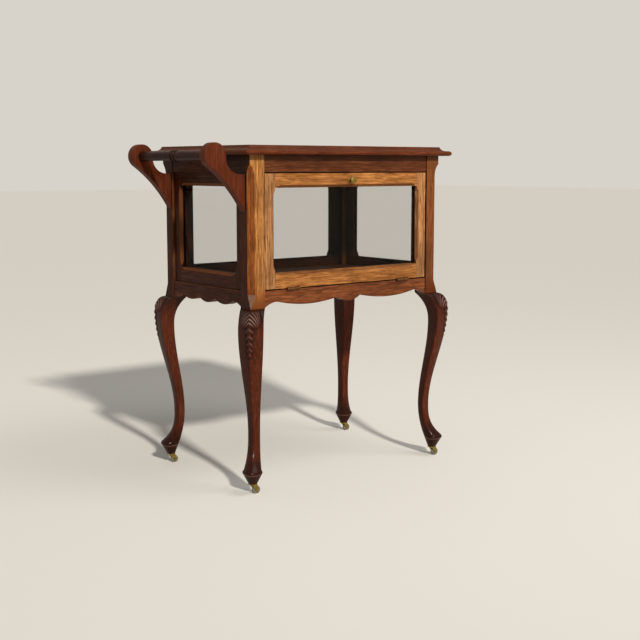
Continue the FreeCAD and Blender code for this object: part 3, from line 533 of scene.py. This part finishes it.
def finish_piece(name, bm, material, body, stands_for=(), sharp=40):
    """Turn a bmesh into a piece that rides on a body and stands for solids."""
    bmesh.ops.remove_doubles(bm, verts=bm.verts, dist=PIECE_WELD)
    bmesh.ops.recalc_face_normals(bm, faces=bm.faces)
    for face in bm.faces:
        face.smooth = True
    mesh = bpy.data.meshes.new(name)
    bm.to_mesh(mesh)
    bm.free()
    mesh.set_sharp_from_angle(angle=math.radians(sharp))
    mesh.materials.append(material)
    piece = bpy.data.objects.new(name, mesh)
    bpy.context.scene.collection.objects.link(piece)
    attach(piece, body)
    if stands_for:
        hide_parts(*stands_for)
    return piece


def turn_profile(bm, profile, centre, steps):
    """Turn a profile of radii and places along the axis round the Y axis through a centre."""
    line = [bm.verts.new(centre + Vector((radius, along, 0))) for radius, along in profile]
    edges = [bm.edges.new(pair) for pair in zip(line, line[1:])]
    bmesh.ops.spin(
        bm, geom=line + edges, cent=centre, axis=(0, 1, 0), angle=2 * math.pi, steps=steps, use_merge=True
    )


def names_with(*starts):
    """Names of the solids that start with the given words."""
    return [name for name in NODES if name.startswith(starts)]


def ease(share):
    """Rise from 0 to 1 that starts and ends level, and stays at 0 before and at 1 after."""
    share = min(1.0, max(0.0, share))
    return share * share * (3 - 2 * share)


def between(start, end, share):
    """The value that lies at a share of the way from start to end."""
    return start + (end - start) * share


def straight(share):
    """A change at an even rate."""
    return share


def quarter_round(share):
    """A change that starts level and ends upright, as a quarter of a circle."""
    return 1 - math.sqrt(max(1 - share * share, 0.0))


def power(exponent):
    """A change that starts slowly and quickens, the more so the higher the exponent."""
    return lambda share: share ** exponent


def leg_curve(z, at_post, at_knee, knee_z, at_ankle, at_toe, above, below):
    """One measure of a cabriole leg at a height, from its values at post, knee, ankle and toe."""
    ankle_z = sizes().ankle_height
    if z >= knee_z:
        return between(at_knee, at_post, above(min(1.0, (z - knee_z) / (KNEE_TOP - knee_z))))
    if z >= ankle_z:
        return between(at_ankle, at_knee, ease((z - ankle_z) / (knee_z - ankle_z)))
    return between(at_ankle, at_toe, below((ankle_z - z) / (ankle_z - sizes().toe_height)))


def foot_measures(z, toe_front, toe_width):
    """Front, back, width and roundness of a foot, below the upper edge of its toe."""
    s = sizes()
    rim_low = s.toe_height - s.toe_rim
    swell = s.toe_swell * math.sin(TOE_ROLL * min(1.0, (s.toe_height - z) / s.toe_rim))
    sole_share = max(0.0, (rim_low - z) / (rim_low - FOOT_Z))
    heel_share = (s.toe_height - z) / (s.toe_height - FOOT_Z)
    front = between(toe_front + swell, s.pad_offset + s.pad_width / 2, sole_share)
    back = between(-s.toe_back, s.pad_offset - s.pad_width / 2, heel_share)
    width = between(toe_width + 2 * swell, s.pad_width, sole_share)
    return front, back, width, FOOT_ROUNDNESS


def leg_measures(z):
    """Front, back, width and roundness of a leg at a height, along and across the diagonal."""
    s = sizes()
    toe_front = s.toe_reach - s.toe_swell
    toe_width = s.toe_width - 2 * s.toe_swell
    if z < s.toe_height:
        return foot_measures(z, toe_front, toe_width)
    corner = POST_SIZE / math.sqrt(2)
    knee_z = KNEE_TOP - s.knee_drop
    hollow_z = KNEE_TOP - s.knee_back_drop
    front = leg_curve(
        z, corner, s.knee_reach, knee_z, s.ankle_reach, toe_front, quarter_round, power(3)
    )
    back = leg_curve(
        z, -corner, s.knee_back, hollow_z, -s.ankle_back, -s.toe_back, power(2.5), power(2)
    )
    width = leg_curve(z, 2 * corner, s.knee_width, knee_z, s.ankle_width, toe_width, straight, power(3))
    roundness = leg_curve(
        z, POST_ROUNDNESS, KNEE_ROUNDNESS, knee_z, ANKLE_ROUNDNESS, FOOT_ROUNDNESS, straight, straight
    )
    return front, back, width, roundness


def carving(drop, aside):
    """Relief and dirt of the carving at a drop below the knee's top and a distance beside its arris.

    A broad shell of curled veins lies over the knee, and pairs of veined lobes hang below it on a narrow
    stem with a middle rib. Relief is a share of the carving's depth. Dirt is a share of full darkness: old
    polish in the sunk ground, the hollows and the grooves. Dirt below zero is a crest painted pale, as
    rubbed wear and a painted highlight. The plain numbers weigh these against each other.
    """
    k = bpy.context.scene.case_carving
    share = drop / k.length
    if not 0 <= share < 1:
        return 0.0, 0.0
    beside = abs(aside)
    reach = beside / k.half_width
    start = ease(share / TOP_FADE)
    lobe = k.lobes * share ** LOBE_CROWDING
    hem = k.hem + k.hem_dip * math.sin(math.pi * min(1.0, reach))
    lower = ease((share - hem) / HEM_FADE)
    shell_half = between(SHELL_TOP_WIDTH, 1.0, ease(share / SHELL_SPREAD))
    wave = LOBE_WIDTH - LOBE_WAVE * math.cos(2 * math.pi * lobe)
    lobe_half = k.stem * (1 - share) ** LOBE_TAPER * wave
    half = k.half_width * between(shell_half, lobe_half, lower)
    across = beside / half
    if across >= 1:
        ground = start * max(0.0, 1 - (beside - half) / k.ground)
        return -0.3 * ground, 0.75 * ground
    edge = ease((1 - across) / EDGE_FADE)
    phase = lobe + 0.5 * (1 - across)
    bulge = between(1 - 0.3 * across ** 2, 0.6 - 0.4 * math.cos(2 * math.pi * phase), lower)
    curl = beside * (VEIN_SPREAD + VEIN_CURL * reach)
    shell_vein = math.cos(2 * math.pi * (curl - VEIN_SLANT * drop) / k.vein_spacing)
    lobe_vein = math.cos(2 * math.pi * LOBE_VEINS * phase + LOBE_VEIN_SLANT * across)
    ridge = 0.5 + 0.5 * between(shell_vein, lobe_vein, lower)
    # Crests painted pale: rubbed wear and a painted highlight.
    shell_rub_and_sheen = math.sin(math.pi * min(1.0, (share + RUB_SHEEN_MARGIN) / RUB_SHEEN_SPAN))
    rub_and_sheen = between(shell_rub_and_sheen, 0.8 - 0.5 * share, lower)
    rib = math.exp(-((aside / k.rib) ** 2)) * (1 - share) ** 0.5
    relief = edge * (bulge * (0.72 + 0.4 * ridge) - 0.62) + 0.3 * rib
    hollows = 0.9 * (1 - bulge) ** 2 * (1 - rib)
    undercut = 0.5 * (1 - edge)
    grooves = 0.5 * (1 - ridge) * (1 - lower)
    crests = 1.6 * edge * bulge ** 2 * ridge * rub_and_sheen
    return relief * start, (hollows + undercut + grooves - crests) * start


def polish(z, facing):
    """Old polish and painted shade on a leg at a height, on a side that faces the front (-1), the back (1)
    or between.

    Knee and foot are dark with old polish; the sides away from the front are darkened as painted shade.
    Below zero, the toe's lower edge is rubbed pale.
    """
    w = wear()
    if abs(z - sizes().toe_height + sizes().toe_rim) < RUBBED_LINE:
        return -w.rim_rubbed
    knee = w.knee_dark * ease(1 - (KNEE_TOP - z) / w.knee_fade)
    foot = w.foot_dark * ease((w.foot_top - z) / w.foot_fade)
    # Painted shade on the sides away from the front.
    side = w.side_shade * ease((facing - FRONT_EDGE) / FRONT_FADE)
    return max(knee, foot, side)


def ring_heights():
    """Heights of a leg's rings, closest where the knee is carved and at the toe's edge."""
    s = sizes()
    carving_tip = KNEE_TOP - bpy.context.scene.case_carving.length
    marks = (FOOT_Z, s.toe_height - s.toe_rim, s.toe_height, s.ankle_height, carving_tip, KNEE_TOP)
    heights = []
    for low, high, steps in zip(marks, marks[1:], RING_STEPS):
        heights += [between(low, high, step / steps) for step in range(steps)]
    return heights + [KNEE_TOP]


def shape_ring(verts, hollow, old_middle, foot, outward, z):
    """Move a ring of a leg to its section at a height, each vertex along its own bearing.

    The hollow layer takes the polish, the painted shade of the sides away from the front and the carving's
    dirt, and its crests painted pale as rubbed wear and painted highlight; the wood's finish reads it.
    """
    across = UP.cross(outward)
    front, back, width, roundness = leg_measures(z)
    middle = foot + outward * ((front + back) / 2) + UP * z
    for vert in verts:
        arm = vert.co - old_middle
        bearing = math.atan2(arm.dot(across), arm.dot(outward))
        direction = outward * math.cos(bearing) + across * math.sin(bearing)
        long_share = abs(math.cos(bearing)) / ((front - back) / 2)
        wide_share = abs(math.sin(bearing)) / (width / 2)
        radius = (long_share ** roundness + wide_share ** roundness) ** (-1 / roundness)
        vert[hollow] = polish(z, direction.y)
        if abs(bearing) < math.pi / 2:
            relief, dirt = carving(KNEE_TOP - z, radius * bearing)
            vert[hollow] += dirt
            radius += relief * bpy.context.scene.case_carving.depth
        vert.co = middle + direction * radius
    return middle


def post_middle(corner):
    """Middle of a post on the floor, found from the ends of the friezes that it carries."""
    x_sign, y_sign = CORNERS[corner]
    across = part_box("frieze_front")
    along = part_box("frieze_left")
    x = across[1].x + POST_SIZE / 2 if x_sign > 0 else across[0].x - POST_SIZE / 2
    y = along[1].y + POST_SIZE / 2 if y_sign > 0 else along[0].y - POST_SIZE / 2
    return Vector((x, y, 0))


class CASE_OT_legs(bpy.types.Operator):
    """Carve the four cabriole legs and plane the posts above them"""

    bl_idname = "case.legs"
    bl_label = "Legs and posts"

    segments: IntProperty(name="Segments", description="Vertices round each leg", default=128, min=16)

    def execute(self, context):
        c = colours()
        leg_wood = oak("Dark oak, hand polished", c.leg_oak, c.leg_pore, "Z", 0.32, 0.12, strength=0.6)
        worn = oak("Golden oak, rubbed", c.worn_oak, c.door_pore, "Z", stain=c.stained_oak)
        planed = oak("Brown oak, planed", c.post_oak, c.post_pore, "Z", stain=c.leg_oak)
        # The posts' sides take a darker oak as painted shade.
        side = oak("Dark oak, planed", c.side_shade_oak, c.leg_pore, "Z", coat=0.05)
        chamfer = oak("Red-brown oak, chamfered", c.chamfer_oak, c.post_pore, "Z", stain=c.stained_oak)
        # Chamfer stops: rubbed-bare wood with a painted reflection on their up-facing facets.
        stop = oak("Oak, rubbed bare", c.bare_and_sheen_oak, c.post_oak, "Z")
        for corner, signs in CORNERS.items():
            leg = self.cabriole(corner, Vector((*signs, 0)).normalized(), leg_wood)
            front = worn if corner == "front_left" else planed
            self.post(corner, [side, front, chamfer, stop])
            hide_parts("leg_" + corner)
        return {"FINISHED"}

    def cabriole(self, corner, outward, material):
        """Draw a leg up from its foot, ring by ring."""
        foot = post_middle(corner)
        heights = ring_heights()
        bm = bmesh.new()
        hollow = bm.verts.layers.float.new("hollow")
        ring = bmesh.ops.create_circle(bm, cap_ends=True, segments=self.segments, radius=1.0)["verts"]
        edges = [edge for edge in bm.edges if edge.is_boundary]
        middle = shape_ring(ring, hollow, Vector(), foot, outward, heights[0])
        for z in heights[1:]:
            made = bmesh.ops.extrude_edge_only(bm, edges=edges)["geom"]
            ring = [item for item in made if isinstance(item, bmesh.types.BMVert)]
            fresh = set(ring)
            drawn = [item for item in made if isinstance(item, bmesh.types.BMEdge)]
            edges = [edge for edge in drawn if set(edge.verts) <= fresh]
            middle = shape_ring(ring, hollow, middle, foot, outward, z)
        bmesh.ops.edgeloop_fill(bm, edges=edges)
        return finish_piece("cabriole_leg_" + corner, bm, material, "case", sharp=50)

    def post(self, corner, materials):
        """Cut a post from the leg's solid, with finishes for its sides, front, chamfer and stops; the sides'
        darker oak is painted shade, and the stops' pale oak is partly a painted reflection.
        """
        bm = bmesh.new()
        bm.from_mesh(NODES["leg_" + corner].data)
        bmesh.ops.remove_doubles(bm, verts=bm.verts, dist=SOLID_WELD)
        bmesh.ops.bisect_plane(
            bm, geom=list(bm.verts) + list(bm.edges) + list(bm.faces), dist=CUT_WELD,
            plane_co=UP * POST_START, plane_no=UP, clear_inner=True,
        )
        bmesh.ops.holes_fill(bm, edges=[edge for edge in bm.edges if edge.is_boundary])
        bmesh.ops.dissolve_limit(bm, angle_limit=FLAT_ANGLE, verts=bm.verts, edges=bm.edges)
        bm.normal_update()
        for face in bm.faces:
            if face.normal.y < -FRONT_PART:
                face.material_index = POST_FRONT
            elif min(abs(face.normal.x), abs(face.normal.y)) > CHAMFER_PART:
                face.material_index = POST_STOP if face.normal.z > STOP_PART else POST_CHAMFER
        piece = finish_piece("post_" + corner, bm, materials[0], "case", sharp=30)
        for material in materials[1:]:
            piece.data.materials.append(material)
        wear_edges(piece, sizes().arris)


class CASE_OT_woodwork(bpy.types.Operator):
    """Polish the boards, rails and frames, with their grain along them"""

    bl_idname = "case.woodwork"
    bl_label = "Boards, rails and frames"

    def execute(self, context):
        c = colours()
        arris = sizes().arris
        brown = oak("Brown oak, sawn", c.case_oak, c.case_pore, "X")
        # The front frieze's darker oak is painted shade from the top's overhang.
        shaded = oak("Brown oak, unfaded", c.frieze_shade_oak, c.case_pore, "X")
        # The ends and back take a darker oak as painted shade, with painted light on their chamfers.
        dark = {}
        for axis in "XYZ":
            name = "Dark oak, grain " + axis
            dark[axis] = oak(name, c.side_shade_oak, c.leg_pore, axis, coat=0.05, slope_light_and_shade=c.post_oak)
        golden = {}
        for axis, tone in (("X", c.door_oak), ("Z", c.stile_oak)):
            name = "Golden oak, grain " + axis
            # Painted shade on the door's chamfers.
            golden[axis] = oak(name, tone, c.door_pore, axis, slope_light_and_shade=c.case_pore)
        # Painted shade on the top's moulded slopes.
        red = oak("Red-brown oak, moulded", c.top_oak, c.top_pore, "X", 0.42, 0.07, slope_light_and_shade=c.case_pore)
        neck = oak("Red-brown oak, sawn", c.neck_oak, c.top_pore, "Z", 0.48, 0.08, strength=0.6)
        inner = oak("Plain oak, unpolished", c.inner_oak, c.leg_pore, "X", 0.6, 0.0)
        dress(["apron_front"], brown, arris)
        dress(["frieze_front"], shaded, arris)
        for side, axis in (("back", "X"), ("left", "Y"), ("right", "Y")):
            rails = [name for name in names_with(side + "_") if name.endswith("_rail")]
            stiles = [name for name in names_with(side + "_") if name.endswith("_stile")]
            dress(rails + ["frieze_" + side], dark[axis], arris)
            dress(["apron_" + side], dark[axis], 2 * arris)
            dress(stiles, dark["Z"], arris)
        dress(["door_top_rail", "door_bottom_rail"], golden["X"], arris)
        dress(["door_left_stile", "door_right_stile"], golden["Z"], arris)
        dress(["top_board"], red, arris)
        dress(names_with("handle_bracket"), neck, arris)
        dress(names_with("floor_"), inner)
        dress([name for name in NODES if name.endswith("_beads")], inner)
        return {"FINISHED"}


class CASE_OT_handle(bpy.types.Operator):
    """Turn the push bar with its two beads"""

    bl_idname = "case.handle"
    bl_label = "Push bar"

    steps: IntProperty(name="Steps", description="Facets round the bar", default=40, min=8)
    bead_steps: IntProperty(name="Bead steps", description="Facets over a bead", default=8, min=2)

    def execute(self, context):
        s = sizes()
        low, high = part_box("handle_bar")
        half = (high.y - low.y) / 2
        shoulder = half - s.socket
        crest = (high.x - low.x) / 2
        plain = crest - s.bead_height
        profile = [(0, -half), (s.spigot, -half), (s.spigot, -shoulder), (plain, -shoulder)]
        for middle in (-s.bead_spread, s.bead_spread):
            for step in range(self.bead_steps + 1):
                turn = math.pi * step / self.bead_steps
                radius = plain + s.bead_height * math.sin(turn)
                profile.append((radius, middle - s.bead_half * math.cos(turn)))
        profile += [(plain, shoulder), (s.spigot, shoulder), (s.spigot, half), (0, half)]
        wood = oak("Black oak, turned", colours().bar_oak, colours().leg_pore, "Y", 0.36, 0.04)
        bm = bmesh.new()
        turn_profile(bm, profile, (low + high) / 2, self.steps)
        finish_piece("push_bar", bm, wood, "case", ["handle_bar"])
        return {"FINISHED"}


class CASE_OT_brass(bpy.types.Operator):
    """Give the catch, hinges and casters their aged brass"""

    bl_idname = "case.brass"
    bl_label = "Brass"

    steps: IntProperty(name="Steps", description="Facets round the knob", default=32, min=8)

    def execute(self, context):
        s = sizes()
        bright = aged_brass("Brass, cast and tarnished", colours().brass)
        dull = aged_brass("Brass, rolled and browned", colours().dull_brass)
        dusty = aged_brass("Brass, worn and dusty", colours().dusty_brass)
        dress(names_with("latch_", "caster_horn", "caster_plate"), bright, s.cast_edge)
        dress(names_with("hinge_"), dull, s.rolled_edge)
        dress(names_with("caster_wheel"), dusty, s.rolled_edge)
        self.knob(bright)
        return {"FINISHED"}

    def knob(self, material):
        """Turn the knob: spindle, collar, neck, and a flat head with a rounded rim."""
        s = sizes()
        low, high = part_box("door_knob")
        middle = (low + high) / 2
        inner_end = high.y - DOOR_FACE
        face = low.y - DOOR_FACE
        head = (high.x - low.x) / 2
        rim_place = face + s.knob_dome + s.knob_rim
        profile = [(0, inner_end), (s.spindle, inner_end), (s.spindle, 0), (s.collar, 0)]
        for step in range(COLLAR_STEPS + 1):
            turn = math.pi / 2 * step / COLLAR_STEPS
            radius = between(s.neck, s.collar, math.cos(turn))
            profile.append((radius, -s.collar_edge - s.collar_rise * math.sin(turn)))
        profile.append((s.neck, rim_place + 2 * s.knob_rim))
        profile.append((head - 2 * s.knob_rim, rim_place + s.knob_rim))
        for step in range(RIM_STEPS + 1):
            turn = math.pi * (step / RIM_STEPS - 0.5)
            radius = head - s.knob_rim + s.knob_rim * math.cos(turn)
            profile.append((radius, rim_place - s.knob_rim * math.sin(turn)))
        for step in range(1, DOME_STEPS + 1):
            outer = 1 - step / DOME_STEPS
            profile.append(((head - s.knob_rim) * outer, face + s.knob_dome * outer ** 2))
        bm = bmesh.new()
        turn_profile(bm, profile, Vector((middle.x, DOOR_FACE, middle.z)), self.steps)
        finish_piece("turned_knob", bm, material, "catch", ["door_knob"])


class CASE_OT_glazing(bpy.types.Operator):
    """Make the panes clear"""

    bl_idname = "case.glazing"
    bl_label = "Panes"

    def execute(self, context):
        pane = plate_glass("Plate glass, clear", colours().glass)
        dress([name for name in NODES if name.endswith("_glass")], pane)
        return {"FINISHED"}


class CASE_OT_stage(bpy.types.Operator):
    """Set the case on a pale floor, with soft light and the photograph's camera"""

    bl_idname = "case.stage"
    bl_label = "Floor, light and camera"

    def execute(self, context):
        self.floor()
        self.surroundings(context.scene)
        self.lamps()
        self.camera(context.scene)
        context.scene.view_settings.view_transform = "Standard"
        return {"FINISHED"}

    def add(self, name, data):
        """Add an object that belongs to the stage and not to the case."""
        item = bpy.data.objects.new(name, data)
        bpy.context.scene.collection.objects.link(item)
        return item

    def floor(self):
        bm = bmesh.new()
        bmesh.ops.create_grid(bm, x_segments=1, y_segments=1, size=FLOOR_HALF)
        mesh = bpy.data.meshes.new("floor")
        bm.to_mesh(mesh)
        bm.free()
        mesh.materials.append(matt_floor("Matt pale floor", colours().floor))
        self.add("floor", mesh)

    def surroundings(self, scene):
        """A pale wall for the camera, glass and gloss to see, and a dimmer sky that lights the case."""
        world = bpy.data.worlds.new("Studio")
        world.use_nodes = True
        tree = world.node_tree
        tree.nodes.clear()
        rays = add_node(tree, "ShaderNodeLightPath")
        through = add_node(
            tree, "ShaderNodeMath",
            {0: rays.outputs["Is Camera Ray"], 1: rays.outputs["Is Transmission Ray"]}, operation="MAXIMUM",
        )
        seen = add_node(
            tree, "ShaderNodeMath", {0: through.outputs[0], 1: rays.outputs["Is Glossy Ray"]},
            operation="MAXIMUM",
        )
        sky = add_node(tree, "ShaderNodeBackground", Color=(*colours().sky, 1), Strength=SKY_STRENGTH)
        wall = add_node(
            tree, "ShaderNodeBackground", Color=(*colours().backdrop, 1), Strength=WALL_STRENGTH
        )
        both = add_node(
            tree, "ShaderNodeMixShader", {0: seen.outputs[0], 1: sky.outputs[0], 2: wall.outputs[0]}
        )
        add_node(tree, "ShaderNodeOutputWorld", {"Surface": both.outputs[0]})
        scene.world = world

    def lamps(self):
        """A sun from the front, a little to the left, and a soft box overhead."""
        key = bpy.data.lights.new("key", "SUN")
        key.energy = SUN_STRENGTH
        key.angle = math.radians(SUN_WIDTH)
        key.color = SUN_COLOUR
        self.add("key", key).rotation_euler = (math.radians(SUN_TILT), 0, math.radians(SUN_TURN))
        soft = bpy.data.lights.new("overhead", "AREA")
        soft.energy = OVERHEAD_POWER
        soft.size = OVERHEAD_SIZE
        box = self.add("overhead", soft)
        box.location = OVERHEAD_PLACE
        box.rotation_euler = (OVERHEAD_AIM - OVERHEAD_PLACE).to_track_quat("-Z", "Y").to_euler()

    def camera(self, scene):
        lens = bpy.data.cameras.new("photograph")
        lens.sensor_width = SENSOR_WIDTH
        lens.lens = FOCAL_LENGTH
        camera = self.add("photograph", lens)
        camera.location = CAMERA_PLACE
        camera.rotation_euler = (math.radians(90 - CAMERA_DIP), 0, math.radians(CAMERA_TURN))
        scene.camera = camera


STEPS = (CASE_OT_woodwork, CASE_OT_legs, CASE_OT_handle, CASE_OT_brass, CASE_OT_glazing, CASE_OT_stage)


class CASE_PT_panel(bpy.types.Panel):
    """Steps and settings of the serving case"""

    bl_idname = "CASE_PT_panel"
    bl_label = "Serving case"
    bl_space_type = "VIEW_3D"
    bl_region_type = "UI"
    bl_category = "Serving case"

    def draw(self, context):
        scene = context.scene
        for step in STEPS:
            self.layout.operator(step.bl_idname)
        for group in (scene.case_colours, scene.case_sizes, scene.case_carving, scene.case_wear):
            box = self.layout.box()
            for name in group.__annotations__:
                box.prop(group, name)


CLASSES = (CaseColours, CaseSizes, CaseCarving, CaseWear, *STEPS, CASE_PT_panel)


def register():
    for item in CLASSES:
        bpy.utils.register_class(item)
    bpy.types.Scene.case_colours = PointerProperty(type=CaseColours)
    bpy.types.Scene.case_sizes = PointerProperty(type=CaseSizes)
    bpy.types.Scene.case_carving = PointerProperty(type=CaseCarving)
    bpy.types.Scene.case_wear = PointerProperty(type=CaseWear)


def unregister():
    del bpy.types.Scene.case_wear
    del bpy.types.Scene.case_carving
    del bpy.types.Scene.case_sizes
    del bpy.types.Scene.case_colours
    for item in reversed(CLASSES):
        bpy.utils.unregister_class(item)


def main():
    register()
    bpy.ops.case.woodwork()
    bpy.ops.case.legs()
    bpy.ops.case.handle()
    bpy.ops.case.brass()
    bpy.ops.case.glazing()
    bpy.ops.case.stage()


if __name__ == "__main__":
    main()
